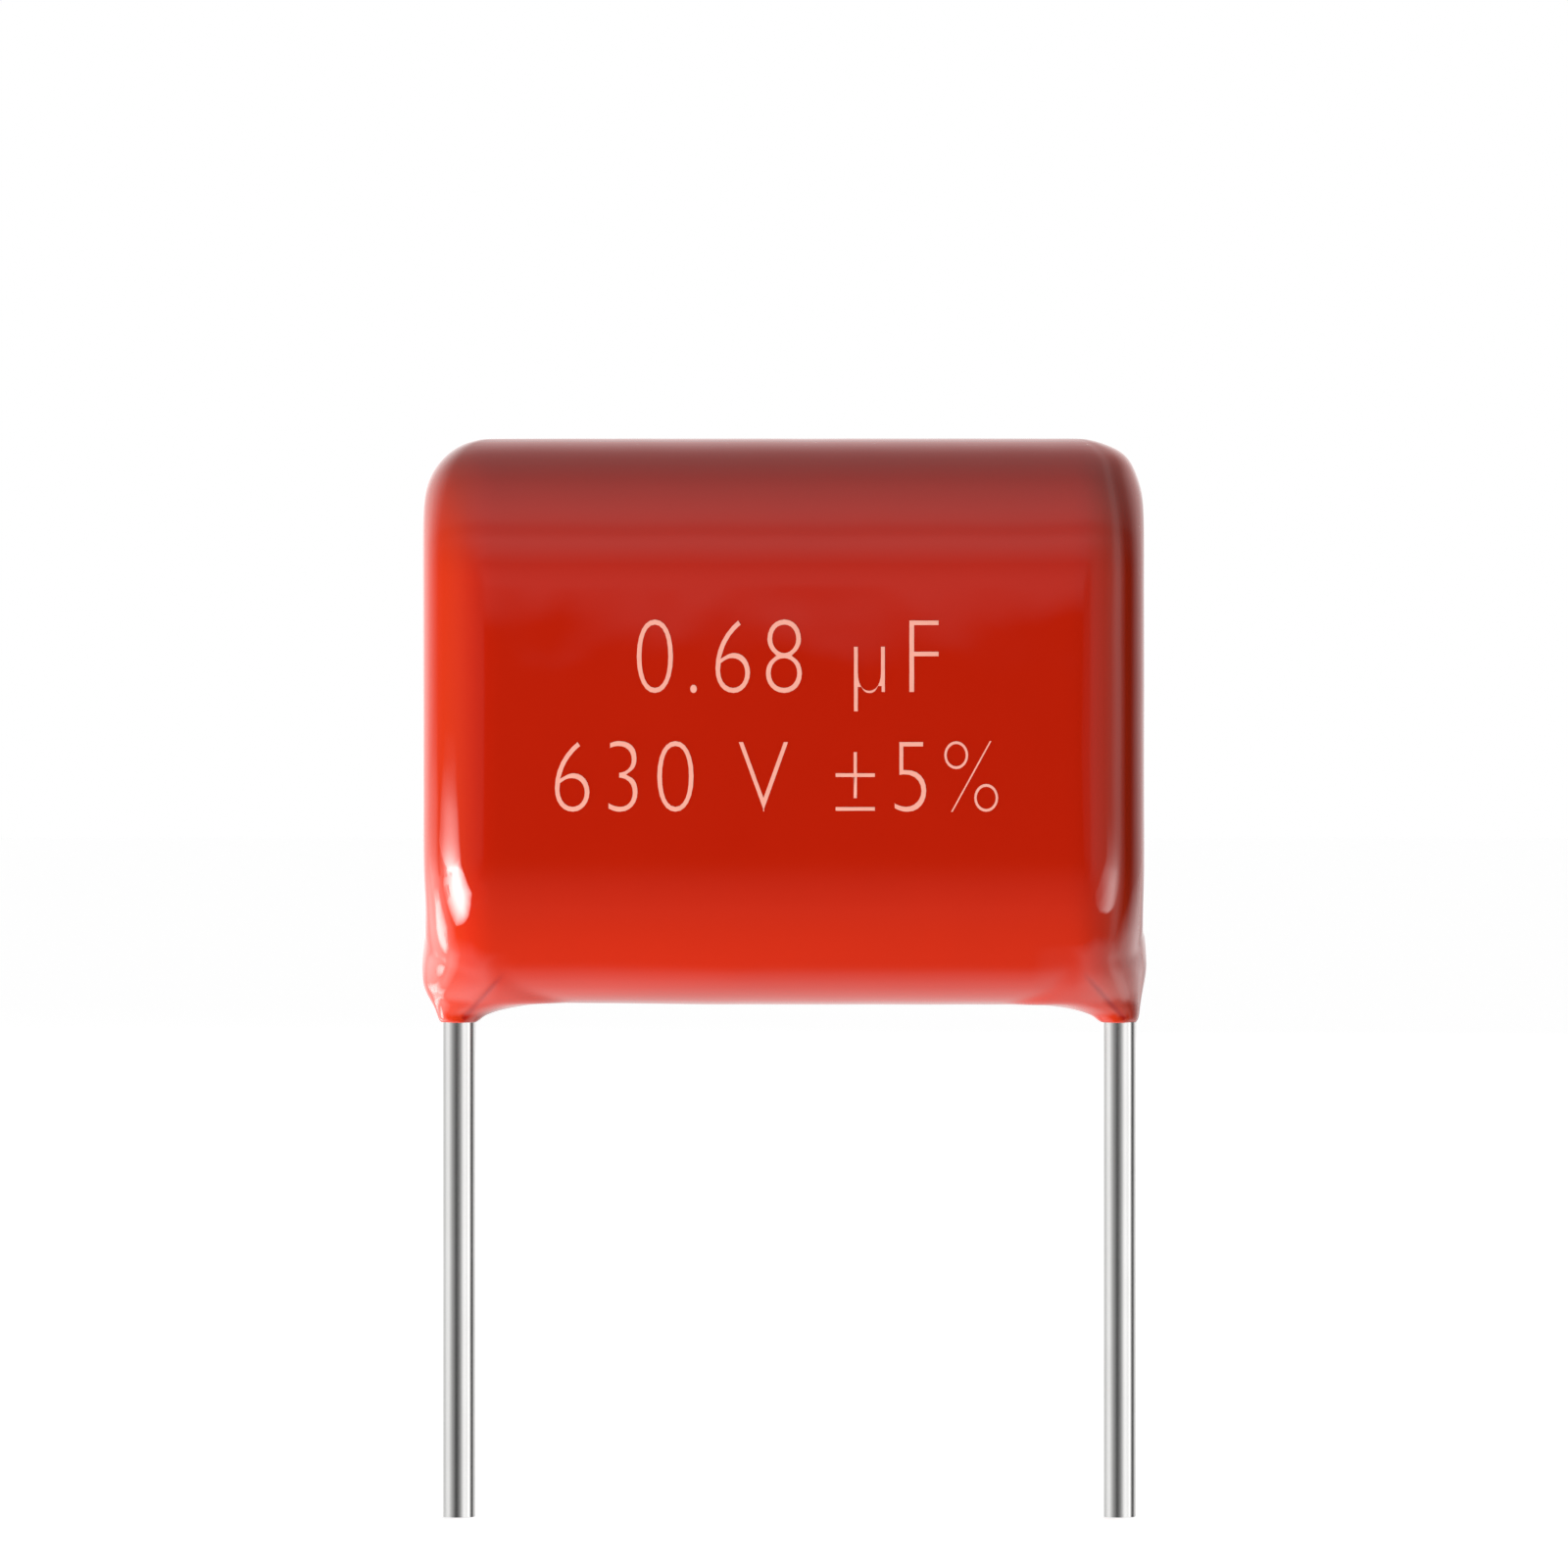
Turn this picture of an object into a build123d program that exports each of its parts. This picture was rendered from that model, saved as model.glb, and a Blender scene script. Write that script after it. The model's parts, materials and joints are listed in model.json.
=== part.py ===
"""Dipped metallised-film capacitor with two straight leads.

Millimetres, +Z up. The origin is midway between the leads, on the plane where the
coat's feet meet the bare wires, which is where the part seats on a circuit board.
+X runs from the left lead to the right one as seen from the printed face, and the
printed face looks along -Y.

Inside the resin coat lies a flattened roll of metallised film. A sprayed metal contact
covers each end of the roll, and a wire is welded upright into each contact. The coat
wets all of them, so its hollow has exactly their shape, and it runs a little way down
each wire as a foot.
"""

from build123d import *
from build123d.topology import SkipClean
from math import exp, log, pi, sqrt
import os

# Leads: tinned wire, on the pitch of the board's holes
lead_pitch = 15.0
lead_diameter = 0.8
lead_reach = 11.2  # bare wire below the seating plane
lead_rise = 10.9  # wire above the seating plane, inside the coat
lead_seat = 0.25  # depth that the wire is pressed into its contact

# Roll of film, wound on a mandrel and pressed flat
mandrel_diameter = 4.0
slit_width = 0.1  # what is left of the mandrel's hole
roll_thickness = 5.55

# Sprayed contacts
contact_thickness = 0.5
contact_edge = 0.2

# Resin coat
face_coat = 0.5  # over the broad faces, the top and the belly
left_coat = 0.38  # outside the left wire
right_coat = 0.15  # outside the right wire
stand_off = 0.45  # belly above the seating plane
end_rounding = 1.5
end_crown = 0.14  # how far the ends bow out between the broad faces

# Feet, where the coat runs down the wires
foot_wall = 0.04  # resin round the wire at the foot's tip
foot_rim = 0.12  # height over which the tip's side is upright
foot_reach = 2.2  # along the belly, from the foot's tip
foot_rise = 2.0  # the foot is rooted this far up inside the body
left_foot = 0.36  # resin outside the left wire, at the root of its foot
right_foot = 0.14  # resin outside the right wire, at the root of its foot
sag_length = 0.78  # over which the belly sags towards the wire
sag_margin = 0.04  # the sag runs this far up into the belly, so that it ends cleanly
left_taper = 0.65  # height over which the left foot narrows on its outer side
right_taper = 0.85
taper_power = 3
sag_steps = 5
root_steps = 5

lead_radius = lead_diameter / 2
slit_length = pi * mandrel_diameter / 2
roll_height = slit_length + roll_thickness
contact_face = lead_pitch / 2 - lead_radius + lead_seat
roll_length = 2 * (contact_face - contact_thickness)
body_radius = roll_thickness / 2 + face_coat
body_height = roll_height + 2 * face_coat
body_centre = stand_off + body_height / 2
foot_tip = lead_radius + foot_wall
sag_depth = stand_off + sag_margin

# Name, direction along X, the resin outside that wire's foot, and the foot's taper
sides = (("left", -1, left_foot, left_taper), ("right", 1, right_foot, right_taper))


with BuildSketch() as roll_outline:
    with Locations((0, body_centre)):
        SlotOverall(roll_height, roll_thickness, rotation=90)

with BuildPart() as film_roll:
    with BuildSketch(Plane.YZ):
        add(roll_outline.sketch)
        with Locations((0, body_centre)):
            SlotOverall(slit_length, slit_width, rotation=90, mode=Mode.SUBTRACT)
    extrude(amount=roll_length / 2, both=True)
film_roll.part.label = "film_roll"

leads = []
contacts = []

for name, side, _, _ in sides:
    # The buried stretch and the bare one keep an edge between them at the seating plane
    with BuildPart() as lead:
        with BuildSketch():
            with Locations((side * lead_pitch / 2, 0)):
                Circle(lead_radius)
        extrude(amount=lead_rise)
        with SkipClean():
            extrude(lead.faces().sort_by(Axis.Z)[0], amount=lead_reach, clean=False)
    lead.part.label = f"lead_{name}"
    leads.append(lead.part)

    with BuildPart() as contact:
        with BuildSketch(Plane.YZ.offset(side * roll_length / 2)):
            add(roll_outline.sketch)
        extrude(amount=side * contact_thickness)
        ends = contact.faces().sort_by(Axis.X)
        chamfer(ends[-1 if side > 0 else 0].edges(), contact_edge)
        add(lead.part, mode=Mode.SUBTRACT)
    contact.part.label = f"end_contact_{name}"
    contacts.append(contact.part)


def sag_height(reach):
    """Height of the coat's underside at a reach from the wire, along the belly."""
    return foot_rim + (sag_depth - foot_rim) * (1 - exp(-(reach - foot_tip) / sag_length))


sag_top = sag_height(foot_tip + foot_reach)


def inner_reach(height):
    """Reach of the foot along the belly, at a height."""
    if height <= foot_rim:
        return foot_tip
    if height >= sag_top:
        return foot_tip + foot_reach
    return foot_tip - sag_length * log((sag_depth - height) / (sag_depth - foot_rim))


def outer_reach(height, resin, taper):
    """Reach of the foot towards the end of the body, at a height."""
    limit = lead_radius + resin
    return foot_tip + (limit - foot_tip) * (1 - exp(-((height / taper) ** taper_power)))


def sideways_reach(height):
    """Reach of the foot across the rounded belly, found by halving the search."""
    near, far = foot_tip, foot_tip + foot_reach
    while far - near > 1e-6:
        reach = (near + far) / 2
        belly_rise = body_radius - sqrt(body_radius**2 - reach**2)
        if sag_height(reach) + belly_rise < height:
            near = reach
        else:
            far = reach
    return near


sag_heights = [
    sag_height(foot_tip + foot_reach * step / sag_steps)
    for step in range(sag_steps + 1)
]
root_heights = [
    sag_top + (foot_rise - sag_top) * step / root_steps
    for step in range(root_steps + 1)
]

left_end = -(lead_pitch / 2 + lead_radius + left_coat)
right_end = lead_pitch / 2 + lead_radius + right_coat
left_corner = left_end + end_crown
right_corner = right_end - end_crown

with BuildPart() as coating:
    with BuildSketch(Plane.XY.offset(body_centre)):
        with BuildLine():
            Line((left_corner, -body_radius), (right_corner, -body_radius))
            ThreePointArc(
                (right_corner, -body_radius),
                (right_end, 0),
                (right_corner, body_radius),
            )
            Line((right_corner, body_radius), (left_corner, body_radius))
            ThreePointArc(
                (left_corner, body_radius),
                (left_end, 0),
                (left_corner, -body_radius),
            )
        make_face()
    extrude(amount=body_height / 2, both=True)
    with BuildSketch(Plane.YZ.offset(left_end)):
        with Locations((0, body_centre)):
            SlotOverall(body_height, 2 * body_radius, rotation=90)
    extrude(amount=right_end - left_end, mode=Mode.INTERSECT)
    end_faces = coating.faces().sort_by(Axis.X)
    fillet(end_faces[0].edges() + end_faces[-1].edges(), end_rounding)

    for _, side, resin, taper in sides:
        for heights in ((0, foot_rim), sag_heights, root_heights):
            for height in heights:
                inner = inner_reach(height)
                outer = outer_reach(height, resin, taper)
                middle = lead_pitch / 2 + (outer - inner) / 2
                with BuildSketch(Plane.XY.offset(height)):
                    with Locations((side * middle, 0)):
                        Ellipse((outer + inner) / 2, sideways_reach(height))
            loft()

    with BuildSketch(Plane.YZ):
        add(roll_outline.sketch)
    extrude(amount=roll_length / 2, both=True, mode=Mode.SUBTRACT)
    for piece in leads + contacts:
        add(piece, mode=Mode.SUBTRACT)
coating.part.label = "coating"

os.makedirs("parts", exist_ok=True)
for piece in [coating.part, film_roll.part] + leads + contacts:
    export_step(piece, f"parts/{piece.label}.step")
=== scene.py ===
# %% [markdown]
# # A dipped film capacitor
#
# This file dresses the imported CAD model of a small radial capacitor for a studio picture.
# The CAD gives the frame: where the body is, how far apart the leads are and how long they
# are. Everything here is in metres in that same frame, so nothing needs to be fitted by eye.

import json
from math import asin, cos, exp, log, pi, radians, sin, sqrt

import bmesh
import bpy
from mathutils import Matrix, Vector, noise

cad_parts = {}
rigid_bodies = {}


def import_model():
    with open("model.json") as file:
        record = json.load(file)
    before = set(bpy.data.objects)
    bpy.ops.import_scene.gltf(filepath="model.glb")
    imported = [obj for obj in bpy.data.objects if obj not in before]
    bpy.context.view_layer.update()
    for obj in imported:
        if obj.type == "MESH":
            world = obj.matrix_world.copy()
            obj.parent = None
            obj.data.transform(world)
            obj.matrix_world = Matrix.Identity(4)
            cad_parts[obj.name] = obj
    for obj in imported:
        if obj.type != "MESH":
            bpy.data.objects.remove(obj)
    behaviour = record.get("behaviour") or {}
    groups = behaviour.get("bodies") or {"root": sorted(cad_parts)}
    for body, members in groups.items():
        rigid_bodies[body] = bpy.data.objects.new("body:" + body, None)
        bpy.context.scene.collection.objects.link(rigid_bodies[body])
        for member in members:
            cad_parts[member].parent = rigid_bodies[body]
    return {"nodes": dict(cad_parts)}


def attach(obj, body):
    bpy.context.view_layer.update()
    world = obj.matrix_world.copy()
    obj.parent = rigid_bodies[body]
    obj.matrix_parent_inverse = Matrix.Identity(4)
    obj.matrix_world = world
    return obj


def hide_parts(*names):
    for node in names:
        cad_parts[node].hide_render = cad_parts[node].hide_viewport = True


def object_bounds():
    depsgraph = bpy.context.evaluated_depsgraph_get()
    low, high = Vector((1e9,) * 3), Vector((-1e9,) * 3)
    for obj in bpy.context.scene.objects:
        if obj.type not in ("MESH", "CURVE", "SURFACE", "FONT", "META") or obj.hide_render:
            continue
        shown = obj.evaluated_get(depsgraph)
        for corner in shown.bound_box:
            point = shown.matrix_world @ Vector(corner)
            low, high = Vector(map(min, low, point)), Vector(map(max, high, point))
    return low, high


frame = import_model()
nodes = frame["nodes"]
cad_low, cad_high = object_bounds()
print("CAD box in mm:", [round(v * 1000, 2) for v in (*cad_low, *cad_high)])

# %% [markdown]
# ## Camera
#
# The picture is a product shot, taken level with the capacitor and from far away, so the two
# leads look exactly parallel. A long lens does that. The lead pitch of 15 mm covers 673.8 of
# the picture's 1600 pixels, which gives the width that the frame covers at the object, and
# the distance follows from the lens.

# %% Place the camera
PICTURE_PIXELS = 1600
MM = 0.001
pixel = 15 * MM / 673.8
frame_width = PICTURE_PIXELS * pixel

camera_data = bpy.data.cameras.new("camera")
camera_data.lens = 200
camera_data.sensor_width = 36
camera_data.clip_start = 0.01
camera_data.clip_end = 5
camera = bpy.data.objects.new("camera", camera_data)
camera_distance = frame_width * camera_data.lens / camera_data.sensor_width
camera.location = (-4.6 * pixel, -camera_distance, 244 * pixel)
camera.rotation_euler = (radians(90), 0, 0)
bpy.context.scene.collection.objects.link(camera)
bpy.context.scene.camera = camera
bpy.context.scene.view_settings.view_transform = "Standard"
print("camera distance in mm:", round(camera_distance / MM, 1))

# %% [markdown]
# ## The resin coat
#
# The real part is a flat roll of film that was dipped in liquid epoxy and hung up by its
# wires to cure. That leaves a skin with no sharp edge anywhere: full-round top and belly,
# rounded ends, and a foot of resin where the skin crept down each wire. The CAD solid has
# these forms with plain seams between them. Here the same forms are made once more as
# meshes, melted into one skin with a voxel remesh and relaxed, as liquid resin would do.

# %% Sizes of the coat, in millimetres
body_radius = 3.275
body_height = 12.833
body_centre = 6.8666
left_end, right_end = -8.28, 8.05
end_rounding = 1.5
end_crown = 0.14
lead_pitch = 15.0
lead_radius = 0.4

# %% [markdown]
# ### The body
#
# A stadium is a circle whose upper half was lifted. The circle is made with an operator, its
# upper half is moved up, and the face is extruded along the body. Bevelling the two end rims
# rounds the ends. This keeps every form true without working out a single vertex.

# %% Body: circle, lift, extrude, bevel
coat_shape = bmesh.new()
turn_upright = Matrix.Rotation(pi / 2, 4, "Y") @ Matrix.Rotation(pi / 128, 4, "Z")
circle = bmesh.ops.create_circle(
    coat_shape, cap_ends=True, segments=128, radius=body_radius, matrix=turn_upright
)
upper_half = [v for v in circle["verts"] if v.co.z > 0]
bmesh.ops.translate(coat_shape, verts=upper_half, vec=(0, 0, body_height - 2 * body_radius))
bmesh.ops.translate(
    coat_shape,
    verts=coat_shape.verts[:],
    vec=(left_end, 0, body_centre - body_height / 2 + body_radius),
)
extruded = bmesh.ops.extrude_face_region(coat_shape, geom=coat_shape.faces[:])
far_end = [g for g in extruded["geom"] if isinstance(g, bmesh.types.BMVert)]
bmesh.ops.translate(coat_shape, verts=far_end, vec=(right_end - left_end, 0, 0))
bmesh.ops.recalc_face_normals(coat_shape, faces=coat_shape.faces[:])
rims = {e for f in coat_shape.faces if len(f.verts) > 4 for e in f.edges}
bmesh.ops.bevel(
    coat_shape,
    geom=list(rims),
    offset=end_rounding,
    offset_type="OFFSET",
    segments=12,
    profile=0.5,
    affect="EDGES",
    material=-1,
    clamp_overlap=False,
)
for v in coat_shape.verts:
    side = -1 if v.co.x < 0 else 1
    v.co.x -= side * end_crown * (v.co.y / body_radius) ** 2
print("body:", len(coat_shape.verts), "vertices")

# %% [markdown]
# ### The feet
#
# Liquid resin that wets a wire climbs along it in a curve that flattens out the further it is
# from the wire. An exponential describes that well. Each foot is a stack of ellipses whose
# reach along the belly follows this curve, joined into a skin with bridge_loops.

# %% Feet: ellipses joined into a horn
foot_tip = lead_radius + 0.085
foot_rim = 0.12
foot_reach = 2.2
foot_rise = 2.0
sag_depth = 0.49
sag_length = 0.78


def sag_height(reach):
    """Height of the coat's underside at a reach from the wire."""
    return foot_rim + (sag_depth - foot_rim) * (1 - exp(-(reach - foot_tip) / sag_length))


def inner_reach(height):
    """How far the foot reaches along the belly at a height."""
    if height <= foot_rim:
        return foot_tip
    if height >= sag_height(foot_tip + foot_reach):
        return foot_tip + foot_reach
    return foot_tip - sag_length * log((sag_depth - height) / (sag_depth - foot_rim))


def sideways_reach(height):
    """How far the foot reaches across the rounded belly at a height."""
    near, far = foot_tip, foot_tip + foot_reach
    while far - near > 1e-6:
        reach = (near + far) / 2
        belly_rise = body_radius - sqrt(body_radius**2 - reach**2)
        if sag_height(reach) + belly_rise < height:
            near = reach
        else:
            far = reach
    return near


def add_foot(shape, side, resin, taper):
    """Adds one foot to the coat as a closed horn of stacked ellipses."""
    limit = lead_radius + resin
    loops = []
    heights = [0] + [sag_height(foot_tip + foot_reach * step / 10) for step in range(11)]
    heights += [heights[-1] + (foot_rise - heights[-1]) * step / 10 for step in range(1, 11)]
    for height in heights:
        inner = inner_reach(height)
        outer = foot_tip + (limit - foot_tip) * (1 - exp(-((height / taper) ** 3)))
        middle = side * (lead_pitch / 2 + (outer - inner) / 2)
        place = Matrix.Translation((middle, 0, height)) @ Matrix.Diagonal(
            ((outer + inner) / 2, sideways_reach(height), 1, 1)
        )
        ring = bmesh.ops.create_circle(
            shape,
            cap_ends=height in (heights[0], heights[-1]),
            segments=48,
            radius=1,
            matrix=place,
        )
        loops.append({e for v in ring["verts"] for e in v.link_edges})
    for lower, upper in zip(loops, loops[1:]):
        bmesh.ops.bridge_loops(shape, edges=list(lower | upper))


feet = bmesh.new()
add_foot(feet, -1, 0.42, 0.60)
add_foot(feet, 1, 0.21, 0.80)
bmesh.ops.recalc_face_normals(feet, faces=feet.faces[:])
feet_mesh = bpy.data.meshes.new("feet")
feet.to_mesh(feet_mesh)
coat_shape.from_mesh(feet_mesh)
feet.free()
bpy.data.meshes.remove(feet_mesh)
print("with feet:", len(coat_shape.verts), "vertices")

# %% [markdown]
# ### One skin
#
# The body and the feet are still separate closed forms that overlap. A voxel remesh keeps
# only what is outside all of them, and a few rounds of smoothing take away the steps that
# the voxels leave and soften the seams into small fillets.

# %% Melt the forms together
VOXEL = 0.092
coat_mesh = bpy.data.meshes.new("resin_coat")
coat_shape.to_mesh(coat_mesh)
coat_shape.free()
coat = bpy.data.objects.new("resin_coat", coat_mesh)
bpy.context.scene.collection.objects.link(coat)
melt = coat.modifiers.new("melt", "REMESH")
melt.mode = "VOXEL"
melt.voxel_size = VOXEL
relax = coat.modifiers.new("relax", "SMOOTH")
relax.factor = 0.5
relax.iterations = 13
skin = bpy.data.meshes.new_from_object(
    coat.evaluated_get(bpy.context.evaluated_depsgraph_get())
)
coat.modifiers.clear()
coat.data = skin
bpy.data.meshes.remove(coat_mesh)
skin.name = "resin_coat"
print("skin:", len(skin.polygons), "faces")

# %% [markdown]
# ### Small unevenness
#
# No dipped part is perfectly even. The broad faces are a little full in the middle, and the
# skin has slow waves that only show where something is mirrored in it. Resin that ran down
# the ends leaves a slight waist over a bulge. Each vertex moves by a few hundredths of a
# millimetre at most.

# %% Fullness, waves and waists
noise.seed_set(7)
fullness = 0.04
waists = {-1: (0.055, 2.6, 0.8), 1: (0.02, 2.5, 0.7)}
bulges = {-1: (0.015, 1.35, 0.4), 1: (0.025, 1.3, 0.4)}


def hump(value, height, centre, width):
    """A bell curve."""
    return height * exp(-(((value - centre) / width) ** 2))


def ramp_up(value, start, end):
    """0 before the start, 1 after the end, smooth between."""
    share = max(0, min(1, (value - start) / (end - start)))
    return share * share * (3 - 2 * share)


moves = []
for vertex in skin.vertices:
    x, y, z = vertex.co
    side = -1 if x < 0 else 1
    along = min(1, abs(x - (left_end + right_end) / 2) / 7.4)
    up = min(1, abs(z - body_centre) / 4.4)
    swell = fullness * (1 - along**6) * (1 - up**2)
    swell += 0.003 * noise.noise(Vector((x * 0.7, y * 0.4, z * 0.6)))
    swell += 0.0022 * noise.noise(Vector((x * 1.1, y * 0.9, z * 0.9 + 40)))
    swell += 0.075 * exp(-(((x - 7.72) ** 2 + (z - 12.95) ** 2) / 0.2))
    swell += 0.033 * ramp_up(x, -5, -1) * ramp_up(-x, -6.4, -5.4) * ramp_up(-z, -2.5, -0.8)
    near_end = min(1, max(0, (abs(x) - 6.6) / 1.2))
    out = hump(z, *bulges[side]) - hump(z, *waists[side])
    moves.append(vertex.normal * swell + Vector((side * out * near_end, 0, 0)))
for vertex, move in zip(skin.vertices, moves):
    vertex.co += move
skin.transform(Matrix.Scale(MM, 4))
for polygon in skin.polygons:
    polygon.use_smooth = True
skin.update()
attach(coat, "root")
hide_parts("coating")
print("largest move in mm:", round(max(m.length for m in moves), 3))

# %% [markdown]
# ## The print
#
# A capacitor carries its ratings in thin, pale ink: how much charge it holds, for which
# voltage, and how exact it is. The two lines here are plain ratings of that kind. The
# letters are Blender's own font, thinned with a negative offset, turned into a mesh and laid
# a hair above the coat. Shrinkwrap would follow the fullness of the face too, but the face
# is so flat that a ray cast per vertex is simpler to read.

# %% Letters as thin ink
ink_thickness = 0.012


def printed_line(name, words, height, centre_x, centre_z, width):
    """A line of print as a flat mesh on the front face; sizes in mm."""
    letters = bpy.data.curves.new(name, "FONT")
    letters.body = words
    letters.size = 1
    letters.offset = -0.024
    letters.resolution_u = 6
    letters.space_character = 1.12
    holder = bpy.data.objects.new(name, letters)
    bpy.context.scene.collection.objects.link(holder)
    flat = bpy.data.meshes.new_from_object(
        holder.evaluated_get(bpy.context.evaluated_depsgraph_get())
    )
    bpy.data.objects.remove(holder)
    bpy.data.curves.remove(letters)
    xs = [v.co.x for v in flat.vertices]
    ys = [v.co.y for v in flat.vertices]
    middle = Vector(((min(xs) + max(xs)) / 2, (min(ys) + max(ys)) / 2, 0))
    stretch = Matrix.Diagonal((width / (max(xs) - min(xs)), height / (max(ys) - min(ys)), 1, 1))
    upright = Matrix.Rotation(pi / 2, 4, "X")
    place = Matrix.Translation((centre_x, 0, centre_z))
    flat.transform(place @ upright @ stretch @ Matrix.Translation(-middle))
    flat.transform(Matrix.Scale(MM, 4))
    flat.name = name
    return bpy.data.objects.new(name, flat)


print_lines = [
    printed_line("print_upper", "0.68 µF", 2.05, -0.02, 8.08, 6.74),
    printed_line("print_lower", "630 V ±5%", 1.58, -0.27, 5.60, 9.90),
]
for line in print_lines:
    bpy.context.scene.collection.objects.link(line)
    shape = bmesh.new()
    shape.from_mesh(line.data)
    bmesh.ops.remove_doubles(shape, verts=shape.verts[:], dist=1e-7)
    for vertex in shape.verts:
        hit, point, normal, _ = coat.ray_cast(vertex.co + Vector((0, -0.01, 0)), (0, 1, 0))
        vertex.co.y = point.y - ink_thickness * MM
    shape.to_mesh(line.data)
    shape.free()
    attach(line, "root")
    print(line.name, [round(v / MM, 2) for v in line.dimensions])

# %% [markdown]
# ## Shared effects
#
# An effect that several finishes use is a node group: it is built once, and each material
# sets its own numbers. A group only gives out colours, masks and heights. The shader stays
# in the material, where an export can read it.

# %% Helpers for node trees
def link(tree, source, target):
    """Joins two sockets."""
    tree.links.new(source, target)


def node(tree, kind, **values):
    """Adds a node, and sets its properties and its named or numbered inputs."""
    made = tree.nodes.new(kind)
    for key, value in values.items():
        if key.startswith("in_"):
            made.inputs[int(key[3:])].default_value = value
        else:
            setattr(made, key, value)
    return made


def math(tree, operation, first, second=None, third=None):
    """A Math node; each operand is a socket or a number."""
    made = tree.nodes.new("ShaderNodeMath")
    made.operation = operation
    for place, value in enumerate((first, second, third)):
        if value is None:
            continue
        if isinstance(value, (int, float)):
            made.inputs[place].default_value = value
        else:
            link(tree, value, made.inputs[place])
    return made.outputs[0]


def new_group(name, inputs, outputs):
    """An empty group with float, colour or vector sockets."""
    group = bpy.data.node_groups.new(name, "ShaderNodeTree")
    for socket, kind, value in inputs:
        made = group.interface.new_socket(socket, in_out="INPUT", socket_type=kind)
        if value is not None:
            made.default_value = value
    for socket, kind in outputs:
        group.interface.new_socket(socket, in_out="OUTPUT", socket_type=kind)
    return group, group.nodes.new("NodeGroupInput"), group.nodes.new("NodeGroupOutput")


def place_group(tree, group, **values):
    """A group node in a tree, with its inputs set by name."""
    made = tree.nodes.new("ShaderNodeGroup")
    made.node_tree = group
    for key, value in values.items():
        made.inputs[key.replace("_", " ")].default_value = value
    return made


def new_material(name):
    """A material with an empty tree but for its output and Principled shader."""
    material = bpy.data.materials.new(name)
    material.use_nodes = True
    tree = material.node_tree
    tree.nodes.clear()
    output = tree.nodes.new("ShaderNodeOutputMaterial")
    shader = tree.nodes.new("ShaderNodeBsdfPrincipled")
    link(tree, shader.outputs[0], output.inputs[0])
    return material, tree, shader


def in_millimetres(tree, stretch=(1, 1, 1)):
    """The piece's own coordinates in millimetres, stretched if asked."""
    place = tree.nodes.new("ShaderNodeTexCoord")
    scale = node(tree, "ShaderNodeMapping")
    scale.inputs["Scale"].default_value = [1000 * s for s in stretch]
    link(tree, place.outputs["Object"], scale.inputs["Vector"])
    return scale.outputs["Vector"]


def curve(tree, value, stops, low, high):
    """A curve through stops of (place, level), drawn with a colour ramp."""
    ramp = tree.nodes.new("ShaderNodeValToRGB")
    elements = ramp.color_ramp.elements
    for _ in stops[2:]:
        elements.new(1.0)
    brightest = max(level for _, level in stops)
    for stop, (place, _) in zip(elements, stops):
        stop.position = (place - low) / (high - low)
    for stop, (_, level) in zip(elements, stops):
        stop.color = (level / brightest, level / brightest, level / brightest, 1)
    along = math(tree, "DIVIDE", math(tree, "SUBTRACT", value, float(low)), float(high - low))
    link(tree, along, ramp.inputs[0])
    return math(tree, "MULTIPLY", ramp.outputs[0], float(brightest))


# %% A mottle that any finish can use
mottle, given, result = new_group(
    "mottle",
    [
        ("Place", "NodeSocketVector", None),
        ("Size", "NodeSocketFloat", 1.0),
        ("Low", "NodeSocketFloat", 0.0),
        ("High", "NodeSocketFloat", 1.0),
    ],
    [("Value", "NodeSocketFloat")],
)
cloud = node(mottle, "ShaderNodeTexNoise", noise_dimensions="3D")
cloud.inputs["Detail"].default_value = 3
link(mottle, given.outputs["Place"], cloud.inputs["Vector"])
link(mottle, math(mottle, "DIVIDE", 1.0, given.outputs["Size"]), cloud.inputs["Scale"])
spread = math(mottle, "SUBTRACT", given.outputs["High"], given.outputs["Low"])
link(
    mottle,
    math(mottle, "MULTIPLY_ADD", cloud.outputs[0], spread, given.outputs["Low"]),
    result.inputs["Value"],
)
print("groups:", [g.name for g in bpy.data.node_groups])

# %% [markdown]
# ## Finish of the resin
#
# Cured dipping epoxy is a smooth, glossy, faintly uneven red. Over the faces it is a deep
# red; towards the roll's ends and low down at the feet it is painted more orange, a painted
# lift that stands in for the brighter light falling there. The gloss is plain Principled
# specular with a low roughness, broken up a little so that mirrored edges are not razor
# sharp. Where the belly runs into a foot, the skin folds into a crease finer than the mesh,
# so it is drawn with a little height in the bump and a darker line in the colour, which is
# painted shade.

# %% Resin material
resin, tree, shader = new_material("dipped_resin")
place = in_millimetres(tree)
tone = place_group(tree, mottle, Size=4.0, Low=0.0, High=1.0)
link(tree, place, tone.inputs["Place"])
colour = node(tree, "ShaderNodeMix", data_type="RGBA")
colour.inputs[6].default_value = (0.480, 0.0125, 0.0022, 1)
colour.inputs[7].default_value = (0.510, 0.0150, 0.0030, 1)
link(tree, tone.outputs["Value"], colour.inputs[0])
axes = node(tree, "ShaderNodeSeparateXYZ")
link(tree, place, axes.inputs[0])
out_along = math(tree, "ABSOLUTE", math(tree, "ADD", axes.outputs["X"], 0.1))
near_end = node(tree, "ShaderNodeMapRange", interpolation_type="SMOOTHSTEP")
near_end.inputs["From Min"].default_value = 6.6
near_end.inputs["From Max"].default_value = 7.6
link(tree, out_along, near_end.inputs["Value"])
low_down = node(tree, "ShaderNodeMapRange", interpolation_type="SMOOTHSTEP")
low_down.inputs["From Min"].default_value = 4.2
low_down.inputs["From Max"].default_value = 1.8
low_down.inputs["To Max"].default_value = 0.45
link(tree, axes.outputs["Z"], low_down.inputs["Value"])
# Painted light: towards the ends and low down the red is mixed more orange, standing in for the brighter
# light that falls there.
painted_orange_lift = node(tree, "ShaderNodeMix", data_type="RGBA")
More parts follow.
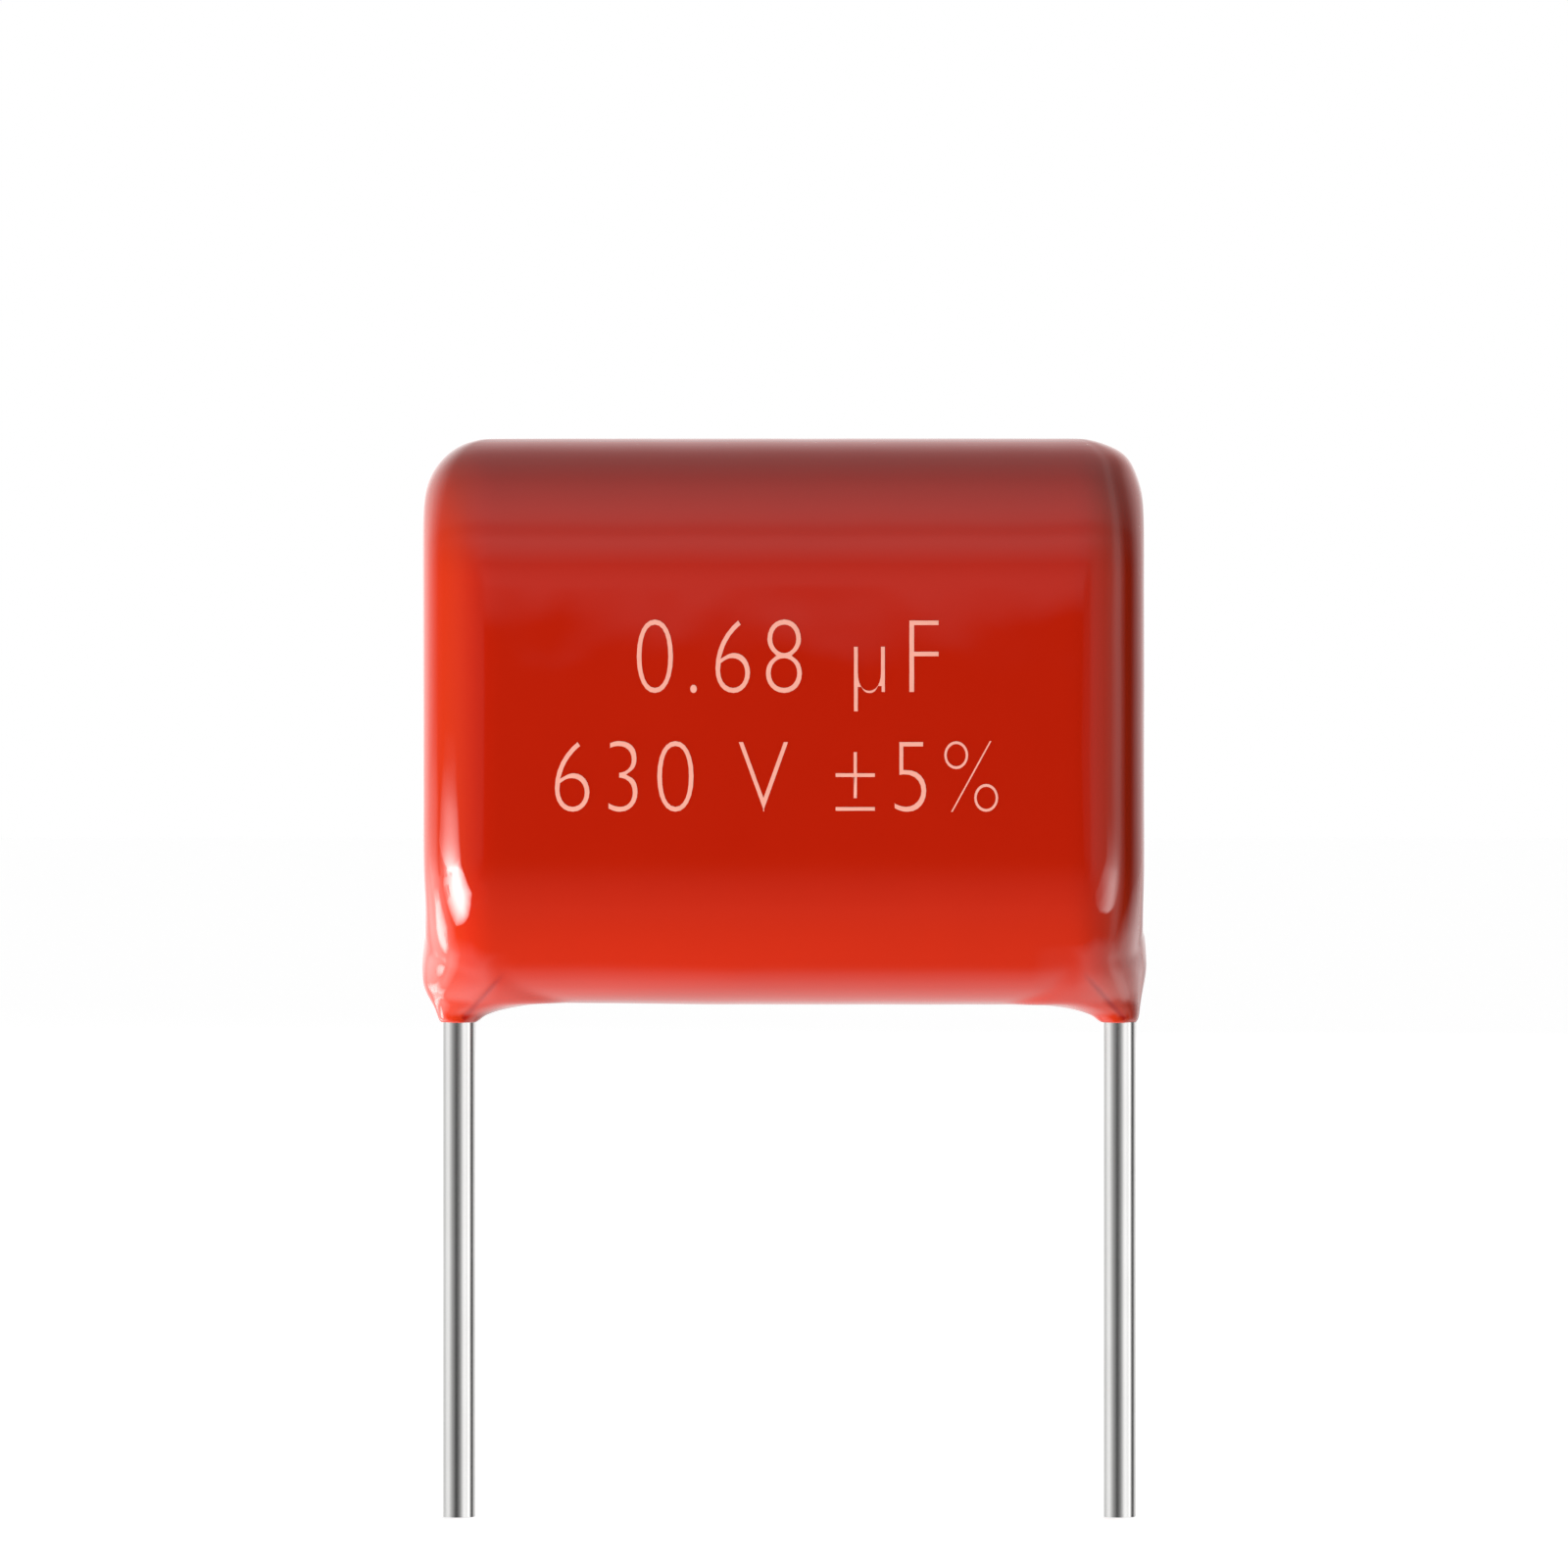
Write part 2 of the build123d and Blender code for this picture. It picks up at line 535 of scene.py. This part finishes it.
painted_orange_lift.inputs[7].default_value = (0.500, 0.0250, 0.0042, 1)
link(tree, math(tree, "MAXIMUM", near_end.outputs[0], low_down.outputs[0]), painted_orange_lift.inputs[0])
link(tree, colour.outputs[2], painted_orange_lift.inputs[6])
gloss = place_group(tree, mottle, Size=1.6, Low=0.02, High=0.045)
link(tree, place, gloss.inputs["Place"])
link(tree, gloss.outputs["Value"], shader.inputs["Roughness"])

CREASE_TOP, CREASE_FOOT = Vector((6.52, 1.17)), Vector((7.50, 0.10))
CREASE_WIDTH = 0.06
crease_run = (CREASE_FOOT - CREASE_TOP).normalized()
beside_x = math(tree, "ABSOLUTE", math(tree, "ADD", axes.outputs["X"], -0.13))
beside_x = math(tree, "SUBTRACT", beside_x, CREASE_TOP.x)
beside_z = math(tree, "SUBTRACT", axes.outputs["Z"], CREASE_TOP.y)
across = math(tree, "MULTIPLY", beside_x, -crease_run.y)
across = math(tree, "MULTIPLY_ADD", beside_z, crease_run.x, across)
along = math(tree, "MULTIPLY", beside_x, crease_run.x)
along = math(tree, "MULTIPLY_ADD", beside_z, crease_run.y, along)
across = math(tree, "DIVIDE", across, CREASE_WIDTH)
groove = math(tree, "MULTIPLY", math(tree, "MULTIPLY", across, across), -1.0)
groove = math(tree, "EXPONENT", groove)
window = node(tree, "ShaderNodeMapRange", interpolation_type="SMOOTHSTEP")
window.inputs["From Min"].default_value = -0.15
window.inputs["From Max"].default_value = 0.5
link(tree, along, window.inputs["Value"])
low_end = math(tree, "LESS_THAN", along, 1.45)
groove = math(tree, "MULTIPLY", groove, math(tree, "MULTIPLY", window.outputs[0], low_end))
# Painted shade: along the crease the colour is darkened towards a deep red, beside the crease's small
# bump.
painted_crease_shade = node(tree, "ShaderNodeMix", data_type="RGBA")
painted_crease_shade.inputs[7].default_value = (0.34, 0.0050, 0.0010, 1)
link(tree, math(tree, "MULTIPLY", groove, 0.9), painted_crease_shade.inputs[0])
link(tree, painted_orange_lift.outputs[2], painted_crease_shade.inputs[6])
link(tree, painted_crease_shade.outputs[2], shader.inputs["Base Color"])

peel = place_group(tree, mottle, Size=0.9, Low=0.0, High=0.0005)
link(tree, place, peel.inputs["Place"])
relief = math(tree, "MULTIPLY_ADD", groove, -0.0045, peel.outputs["Value"])
bump = node(tree, "ShaderNodeBump")
bump.inputs["Strength"].default_value = 1.0
bump.inputs["Distance"].default_value = MM
link(tree, relief, bump.inputs["Height"])
link(tree, bump.outputs[0], shader.inputs["Normal"])
shader.inputs["IOR"].default_value = 1.6
coat.data.materials.clear()
coat.data.materials.append(resin)

# %% [markdown]
# ## Finish of the print

# %% Ink material
ink, tree, shader = new_material("pale_ink")
place = in_millimetres(tree)
tone = place_group(tree, mottle, Size=0.3, Low=0.0, High=1.0)
link(tree, place, tone.inputs["Place"])
colour = node(tree, "ShaderNodeMix", data_type="RGBA")
colour.inputs[6].default_value = (0.90, 0.38, 0.29, 1)
colour.inputs[7].default_value = (0.97, 0.47, 0.37, 1)
link(tree, tone.outputs["Value"], colour.inputs[0])
link(tree, colour.outputs[2], shader.inputs["Base Color"])
shader.inputs["Roughness"].default_value = 0.45
for line in print_lines:
    line.data.materials.clear()
    line.data.materials.append(ink)

# %% [markdown]
# ## Finish of the wires
#
# The leads are copper-clad steel, drawn through a die and dipped in tin. Drawing leaves
# fine lines along the wire, and the tin is bright but not a mirror. The wires are left out
# of the coat's reflections, where each would show as a flat wedge beside its foot.

# %% Tinned wire material
tin, tree, shader = new_material("tinned_wire")
drawn = place_group(tree, mottle, Size=0.12, Low=0.0, High=1.0)
link(tree, in_millimetres(tree, (1, 1, 0.02)), drawn.inputs["Place"])
clouds = place_group(tree, mottle, Size=1.1, Low=0.0, High=1.0)
link(tree, in_millimetres(tree, (1, 1, 0.5)), clouds.inputs["Place"])
colour = node(tree, "ShaderNodeMix", data_type="RGBA")
colour.inputs[6].default_value = (0.80, 0.79, 0.78, 1)
colour.inputs[7].default_value = (0.92, 0.92, 0.91, 1)
link(tree, clouds.outputs["Value"], colour.inputs[0])
link(tree, colour.outputs[2], shader.inputs["Base Color"])
link(tree, math(tree, "MULTIPLY_ADD", drawn.outputs["Value"], 0.1, 0.14), shader.inputs["Roughness"])
bump = node(tree, "ShaderNodeBump")
bump.inputs["Strength"].default_value = 0.12
bump.inputs["Distance"].default_value = 0.00001
link(tree, drawn.outputs["Value"], bump.inputs["Height"])
link(tree, bump.outputs[0], shader.inputs["Normal"])
shader.inputs["Metallic"].default_value = 1.0
for name in ("lead_left", "lead_right"):
    nodes[name].data.materials.clear()
    nodes[name].data.materials.append(tin)
    nodes[name].visible_glossy = False

# %% [markdown]
# ## Finishes inside the coat
#
# Nobody sees the roll and its contacts, but a part that is cut open in another scene should
# not show plain grey. The roll is bright metallised film whose turns show as fine lines,
# and the contacts are rough sprayed zinc.

# %% Film and sprayed metal materials
film, tree, shader = new_material("metallised_film")
turns = node(tree, "ShaderNodeTexWave", wave_type="BANDS", bands_direction="Y")
turns.inputs["Scale"].default_value = 3.0
turns.inputs["Distortion"].default_value = 0.6
link(tree, in_millimetres(tree), turns.inputs["Vector"])
colour = node(tree, "ShaderNodeMix", data_type="RGBA")
colour.inputs[6].default_value = (0.60, 0.62, 0.65, 1)
colour.inputs[7].default_value = (0.78, 0.79, 0.82, 1)
link(tree, turns.outputs["Fac"], colour.inputs[0])
link(tree, colour.outputs[2], shader.inputs["Base Color"])
bump = node(tree, "ShaderNodeBump")
bump.inputs["Strength"].default_value = 0.2
bump.inputs["Distance"].default_value = 0.00002
link(tree, turns.outputs["Fac"], bump.inputs["Height"])
link(tree, bump.outputs[0], shader.inputs["Normal"])
shader.inputs["Metallic"].default_value = 0.7
shader.inputs["Roughness"].default_value = 0.3
nodes["film_roll"].data.materials.clear()
nodes["film_roll"].data.materials.append(film)

zinc, tree, shader = new_material("sprayed_zinc")
grains = place_group(tree, mottle, Size=0.08, Low=0.0, High=1.0)
link(tree, in_millimetres(tree), grains.inputs["Place"])
colour = node(tree, "ShaderNodeMix", data_type="RGBA")
colour.inputs[6].default_value = (0.30, 0.30, 0.32, 1)
colour.inputs[7].default_value = (0.62, 0.62, 0.63, 1)
link(tree, grains.outputs["Value"], colour.inputs[0])
link(tree, colour.outputs[2], shader.inputs["Base Color"])
bump = node(tree, "ShaderNodeBump")
bump.inputs["Strength"].default_value = 0.6
bump.inputs["Distance"].default_value = 0.00005
link(tree, grains.outputs["Value"], bump.inputs["Height"])
link(tree, bump.outputs[0], shader.inputs["Normal"])
shader.inputs["Metallic"].default_value = 0.8
shader.inputs["Roughness"].default_value = 0.6
for name in ("end_contact_left", "end_contact_right"):
    nodes[name].data.materials.clear()
    nodes[name].data.materials.append(zinc)

# %% [markdown]
# ## Floor
#
# A wide pale sheet at the height of the lead tips. For the camera it glows a little, so that
# it meets the white background without a line and still shows the soft shadow. It works as
# a light table does: the lamps below shine through it.

# %% Floor
floor_shape = bmesh.new()
bmesh.ops.create_circle(
    floor_shape,
    cap_ends=True,
    segments=96,
    radius=2.5,
    matrix=Matrix.Translation((0, 0, cad_low.z - 0.00002)),
)
floor_mesh = bpy.data.meshes.new("floor")
floor_shape.to_mesh(floor_mesh)
floor_shape.free()
floor = bpy.data.objects.new("floor", floor_mesh)
bpy.context.scene.collection.objects.link(floor)
floor.visible_shadow = False
floor.visible_diffuse = False
floor.visible_glossy = False

pale, tree, shader = new_material("pale_floor")
grain = place_group(tree, mottle, Size=2.0, Low=0.0, High=1.0)
link(tree, in_millimetres(tree), grain.inputs["Place"])
colour = node(tree, "ShaderNodeMix", data_type="RGBA")
colour.inputs[6].default_value = (0.88, 0.88, 0.88, 1)
colour.inputs[7].default_value = (0.90, 0.90, 0.90, 1)
link(tree, grain.outputs["Value"], colour.inputs[0])
link(tree, colour.outputs[2], shader.inputs["Base Color"])
shader.inputs["Roughness"].default_value = 0.9
shader.inputs["Specular IOR Level"].default_value = 0.0
path = tree.nodes.new("ShaderNodeLightPath")
seen = math(tree, "MAXIMUM", path.outputs["Is Camera Ray"], path.outputs["Is Glossy Ray"])
seen = math(tree, "MAXIMUM", seen, path.outputs["Is Transmission Ray"])
shader.inputs["Emission Strength"].default_value = 1.0
glow = math(tree, "MULTIPLY", seen, 0.72)
link(tree, glow, shader.inputs["Emission Color"])
floor_mesh.materials.append(pale)

# %% [markdown]
# ## Studio
#
# Glossy resin shows whatever stands round it, so the studio matters as much as the material.
# What is mirrored is written as two curves: how bright the studio is at an angle above or
# below the camera's own direction, and at an angle left or right of it, blended by which way
# is further. Half the angle is the lean of the surface that mirrors it, which makes such a
# curve easy to read off a rounded edge.

# %% Studio that shows in the gloss
world = bpy.data.worlds.new("studio")
bpy.context.scene.world = world
world.use_nodes = True
tree = world.node_tree
tree.nodes.clear()
output = tree.nodes.new("ShaderNodeOutputWorld")
background = tree.nodes.new("ShaderNodeBackground")
link(tree, background.outputs[0], output.inputs[0])
direction = node(tree, "ShaderNodeSeparateXYZ")
link(tree, tree.nodes.new("ShaderNodeTexCoord").outputs["Generated"], direction.inputs[0])
dx, dy, dz = direction.outputs
towards_front = math(tree, "MAXIMUM", math(tree, "SUBTRACT", 1.0, dy), 1e-5)

UP_AND_DOWN = [
    (-157, 1.0), (-131, 0.95), (-115, 0.80), (-102, 0.46), (-95, 0.20), (-90, 0.10),
    (-55, 0.10), (-43, 0.12), (-20, 0.08), (-4, 0.0), (2.45, 0.0), (2.75, 0.32), (6, 0.30),
    (14, 0.22), (20, 0.36), (26, 0.48), (32, 0.61), (36, 0.56), (40, 0.45), (43.5, 0.45),
    (47, 0.54), (50, 0.68), (60, 0.72), (76, 0.66), (90, 0.55), (115, 0.54), (126, 0.62),
    (140, 0.92), (160, 1.1),
]
LEFT_AND_RIGHT = [
    (-155, 1.6), (-133, 1.5), (-118, 0.95), (-106, 0.40), (-100, 0.14), (-88, 0.08),
    (-60, 0.16), (-18, 0.15), (-15.5, 0.0), (12, 0.0), (17, 0.07), (25, 0.12), (30, 0.27),
    (37, 0.32), (55, 0.26), (65, 0.38), (73, 0.90), (80, 0.85), (86, 0.30), (93, 0.02),
    (104, 0.02), (111, 0.16), (117, 0.42), (131, 0.85), (152, 1.05),
]


def lean(axis):
    """Half the angle from the camera's direction along an axis, in degrees."""
    return math(tree, "MULTIPLY", math(tree, "ARCTAN2", axis, towards_front), 360 / pi)


up, right = lean(dz), lean(dx)
vertical = curve(tree, up, UP_AND_DOWN, -180, 180)
horizontal = curve(tree, right, LEFT_AND_RIGHT, -180, 180)
aside = math(tree, "MAXIMUM", math(tree, "SUBTRACT", math(tree, "ABSOLUTE", right), 15.0), 0.0)
aside = math(tree, "MULTIPLY", aside, aside)
above = math(tree, "MAXIMUM", math(tree, "MULTIPLY", up, up), 1e-3)
share = math(tree, "DIVIDE", above, math(tree, "ADD", above, aside))
mirrored = math(tree, "MULTIPLY_ADD", math(tree, "SUBTRACT", vertical, horizontal), share, horizontal)

path = tree.nodes.new("ShaderNodeLightPath")
AMBIENT = 0.17
camera_ray = path.outputs["Is Camera Ray"]
gloss_ray = math(tree, "MAXIMUM", path.outputs["Is Glossy Ray"], path.outputs["Is Transmission Ray"])
other_ray = math(tree, "SUBTRACT", math(tree, "SUBTRACT", 1.0, gloss_ray), camera_ray)
sky = math(tree, "MULTIPLY_ADD", mirrored, gloss_ray, camera_ray)
sky = math(tree, "MULTIPLY_ADD", other_ray, AMBIENT, sky)
link(tree, sky, background.inputs["Color"])
background.inputs["Strength"].default_value = 1.0

# %% [markdown]
# ### Lamps
#
# Soft boxes light the resin, and are kept out of the gloss, which has its own studio above.
# The main one stands low at the front left, and a second at the left. Weaker ones behind
# keep the back from going dark in other views, and a wide sun gives the floor its shadow.

# %% Lamps
def soft_box(name, towards, light, size=(110, 110), distance=300):
    """A lamp that looks at the body; light is what a white sheet facing it would shine."""
    lamp = bpy.data.lights.new(name, "AREA")
    lamp.shape = "RECTANGLE"
    lamp.size, lamp.size_y = size[0] * MM, size[1] * MM
    lamp.energy = light * (distance * MM) ** 2 * pi * 4
    holder = bpy.data.objects.new(name, lamp)
    way = Vector(towards).normalized()
    holder.location = Vector((0, 0, body_centre * MM)) + way * distance * MM
    holder.rotation_euler = way.to_track_quat("Z", "Y").to_euler()
    holder.visible_camera = False
    holder.visible_glossy = False
    bpy.context.scene.collection.objects.link(holder)
    return holder


soft_box("key_box", (-0.43, -0.80, -0.48), 0.88, (150, 110))
soft_box("side_box", (-0.82, 0.05, -0.55), 0.88)
soft_box("back_box", (0.05, 0.80, 0.60), 0.75)
soft_box("far_right_box", (0.67, 0.74, 0.0), 0.72)

sun = bpy.data.lights.new("ceiling", "SUN")
sun.angle = radians(50)
sun.energy = 0.14 * pi
ceiling = bpy.data.objects.new("ceiling", sun)
ceiling.rotation_euler = (radians(12), radians(-8), 0)
ceiling.visible_camera = False
ceiling.visible_glossy = False
bpy.context.scene.collection.objects.link(ceiling)

# %% [markdown]
# ### Cards that show in the gloss
#
# A long white drop runs down the left end of the real part, and a dimmer one down the right
# end. They are lamps, bent into drops by the round corners. Here they are flat cards at each
# side that only mirrored rays can see. The outlines were found by following rays from the
# drop's edge off the resin, out to the card's plane. Nested outlines with their own level of
# glow give a card soft edges, because the level is blended over the faces between them.

# %% Cards
def only_in_gloss(card, receivers):
    """Makes a card that only mirrored rays see, and only on the receivers."""
    card.visible_camera = False
    card.visible_diffuse = False
    card.visible_transmission = False
    card.visible_volume_scatter = False
    card.visible_shadow = False
    lit = bpy.data.collections.new(card.name + "_lights")
    for receiver in receivers:
        lit.objects.link(receiver)
    card.light_linking.receiver_collection = lit


def shine_through(name):
    """A material that adds light and lets what is behind it through, and its glow."""
    material, tree, _ = new_material(name)
    tree.nodes.clear()
    output = tree.nodes.new("ShaderNodeOutputMaterial")
    both = tree.nodes.new("ShaderNodeAddShader")
    shine = tree.nodes.new("ShaderNodeEmission")
    link(tree, shine.outputs[0], both.inputs[0])
    link(tree, tree.nodes.new("ShaderNodeBsdfTransparent").outputs[0], both.inputs[1])
    link(tree, both.outputs[0], output.inputs[0])
    axes = node(tree, "ShaderNodeSeparateXYZ")
    link(tree, in_millimetres(tree), axes.inputs[0])
    shine.inputs["Strength"].default_value = 1.0
    return material, tree, axes, shine.inputs["Color"]


def card_material(name, along_z, along_y):
    """Glow by the card's own levels, times a curve over height and one over depth."""
    material, tree, axes, glow = shine_through(name)
    levels = node(tree, "ShaderNodeAttribute", attribute_name="level")
    value = levels.outputs["Fac"]
    for axis, stops in (("Z", along_z), ("Y", along_y)):
        if stops:
            value = math(tree, "MULTIPLY", curve(tree, axes.outputs[axis], stops, -120, 220), value)
    link(tree, value, glow)
    return material


def glow_card(name, place, contours, along_z=None, along_y=None):
    """A flat card from nested outlines, each with its own level of glow, in mm.

    Each contour is (level, outline); all have the same number of corners, outermost first.
    """
    shape = bmesh.new()
    level = shape.verts.layers.float.new("level")
    rings = []
    for height, outline in contours:
        corners = [shape.verts.new(Vector(place(a, b)) * MM) for a, b in outline]
        for corner in corners:
            corner[level] = height
        rings.append(corners)
    for outer, inner in zip(rings, rings[1:]):
        for step in range(len(outer)):
            shape.faces.new((outer[step - 1], outer[step], inner[step], inner[step - 1]))
    shape.faces.new(rings[-1])
    mesh = bpy.data.meshes.new(name)
    shape.to_mesh(mesh)
    shape.free()
    card = bpy.data.objects.new(name, mesh)
    bpy.context.scene.collection.objects.link(card)
    mesh.materials.append(card_material(name, along_z, along_y))
    only_in_gloss(card, [coat])
    print(name, len(mesh.polygons), "faces")


def left_wall(y, z):
    """A point of the wall left of the part."""
    return (-80, y, z)


def right_wall(y, z):
    """A point of the wall right of the part."""
    return (80, y, z)


def sheet_below(x, y):
    """A point of a level sheet under the part."""
    return (x, y, -60)


glow_card(
    "left_drop",
    left_wall,
    [
        (1.8, [
            (-4, -5), (1, -10), (5, -15), (4.5, -19.5), (3, -23.5), (-0.5, -29), (-5, -36),
            (-10, -48), (-36, -64), (-58, -70), (-78, -64), (-90, -50), (-76, -32), (-68, -19),
            (-59, -9), (-50, 0.5),
        ]),
        (13.5, [
            (-28, -6), (-22, -11), (-19, -16), (-17, -20), (-16, -24), (-17, -29.5), (-20, -35),
            (-25, -42), (-38, -52), (-47, -53), (-54, -46), (-60, -38), (-54, -28), (-49, -17),
            (-46, -7), (-41, -4),
        ]),
        (18, [
            (-30, -9), (-28, -12), (-26, -16), (-25, -20), (-25, -24), (-26, -28), (-28, -32),
            (-30, -36), (-36, -43), (-42, -43), (-47, -38), (-50, -32), (-46, -26), (-43, -16),
            (-41, -9.5), (-37, -7.5),
        ]),
    ],
)
glow_card(
    "left_tail",
    left_wall,
    [
        (0, [(14, -10), (-56, -10), (-54, 2), (-38, 7), (-6, 7), (10, 3.5), (12, 0)]),
        (1, [(-20, -10), (-55, -10), (-53, 1), (-29, 7), (-14, 7), (6, 3.4), (-8, 0)]),
    ],
    [
        (-9.5, 0), (-6, 14.0), (-2, 12.2), (1.7, 8.6), (2.7, 6.6), (3.4, 4.8), (4.0, 3.2),
        (4.4, 2.2), (4.7, 1.75), (5.1, 1.15), (5.6, 0.55), (6.2, 0.15), (6.8, 0),
    ],
    [
        (-54, 0), (-49, 0.27), (-43, 0.48), (-38, 0.64), (-32, 0.87), (-26, 1), (-20, 1),
        (-14, 0.86), (-8, 0.66), (-3, 0.45), (8, 0.15), (14, 0),
    ],
)
glow_card(
    "left_streak",
    left_wall,
    [
        (0, [(18, -13), (40, -12), (52, -22), (50, -36), (46, -48), (40, -56), (24, -54), (10, -34)]),
        (5.2, [(24, -18), (36, -17), (43, -25), (41, -36), (39, -43), (36, -49), (28, -48), (18, -34)]),
        (7.0, [(28, -24), (33, -24), (36, -28), (36, -37), (35, -41), (34, -44), (30, -43), (25, -34)]),
    ],
)
glow_card(
    "left_glow",
    left_wall,
    [
        (0, [(-12, -4), (15, 8), (60, 4), (105, -8), (108, -80), (62, -108), (10, -95), (-10, -45)]),
        (1.9, [(18, -10), (30, -6), (42, -8), (50, -22), (50, -55), (42, -72), (28, -66), (18, -30)]),
    ],
)
glow_card(
    "left_tip",
    left_wall,
    [
        (0, [(46, -56), (60, -43), (72, -32), (100, -26), (95, -76), (90, -110), (64, -106), (54, -76)]),
        (4.6, [(59, -55), (66, -49), (77, -42), (81, -48), (82, -72), (81, -92), (76, -94), (72, -76)]),
    ],
)
glow_card(
    "right_drop",
    right_wall,
    [
        (0, [
            (-9, -10), (-11, -28), (-22, -40), (-32, -50), (-45, -58), (-60, -67), (-88, -70),
            (-96, -50), (-76, -16), (-50, 6), (-30, 6), (-10, 6),
        ]),
        (1, [
            (-14, -10), (-17, -26), (-25, -38), (-34, -46), (-46, -53), (-62, -61), (-82, -62),
            (-86, -50), (-70, -20), (-46, 3), (-30, 3), (-15, 3),
        ]),
    ],
    [(-65, 1), (-25, 1), (-17, 0.98), (-7, 0.72), (-3, 0.48), (1.5, 0.28), (3, 0.18), (5, 0)],
    [
        (-90, 0.2), (-77, 0.5), (-67, 0.7), (-57, 1.4), (-46, 2.5), (-38, 3.5), (-30, 4.1), (-25, 3.4),
        (-20, 1.8), (-14, 0.3), (-11, 0),
    ],
)
glow_card(
    "right_glow",
    right_wall,
    [
        (0, [(8, -30), (30, -8), (90, 4), (150, -10), (140, -90), (70, -130), (20, -110), (4, -70)]),
        (1.1, [(32, -42), (42, -32), (62, -24), (90, -24), (88, -60), (62, -82), (42, -74), (34, -58)]),
    ],
)
glow_card(
    "low_left",
    sheet_below,
    [
        (0, [(-8, -14), (-8, 25), (-12, 55), (-60, 60), (-85, 35), (-80, -4), (-45, -22)]),
        (0.62, [(-17, 2), (-17, 20), (-24, 38), (-48, 40), (-60, 26), (-56, 6), (-36, -4)]),
    ],
)
glow_card(
    "low_right",
    sheet_below,
    [
        (0, [(8, -22), (8, 22), (12, 50), (60, 58), (85, 40), (80, -5), (45, -28)]),
        (0.55, [(19, -8), (19, 20), (28, 36), (48, 38), (60, 28), (56, 0), (38, -12)]),
    ],
)

# %% [markdown]
# The wires mirror the studio too, and a thin wire shows it as lengthwise stripes. A tall
# ring round the part, linked to the wires alone, carries the bright and dark stretches.

# %% Ring for the wires
ring_shape = bmesh.new()
ring_place = Matrix.Translation((0, 0, 0.03))
bmesh.ops.create_circle(ring_shape, segments=180, radius=0.4, matrix=ring_place)
hem = bmesh.ops.extrude_edge_only(ring_shape, edges=ring_shape.edges[:])
lower = [g for g in hem["geom"] if isinstance(g, bmesh.types.BMVert)]
bmesh.ops.translate(ring_shape, verts=lower, vec=(0, 0, -0.12))
ring_mesh = bpy.data.meshes.new("wire_ring")
ring_shape.to_mesh(ring_mesh)
ring_shape.free()
wire_ring = bpy.data.objects.new("wire_ring", ring_mesh)
bpy.context.scene.collection.objects.link(wire_ring)

RING = [
    (-180, 0.0), (-125, 0.0), (-104, 0.35), (-84, 0.85), (-65, 0.88), (-50, 0.50), (-38, 0.25),
    (-26, 0.10), (-16, 0.05), (-6, 0.07), (6, 0.20), (18, 0.42), (32, 0.75), (46, 0.90),
    (62, 0.72), (78, 0.45), (90, 0.15), (100, 0.05), (180, 0.0),
]
material, tree, axes, glow = shine_through("wire_ring")
turn = math(tree, "ARCTAN2", axes.outputs["X"], math(tree, "MULTIPLY", axes.outputs["Y"], -1.0))
link(tree, curve(tree, math(tree, "MULTIPLY", turn, 180 / pi), RING, -180, 180), glow)
ring_mesh.materials.append(material)
only_in_gloss(wire_ring, [nodes["lead_left"], nodes["lead_right"]])
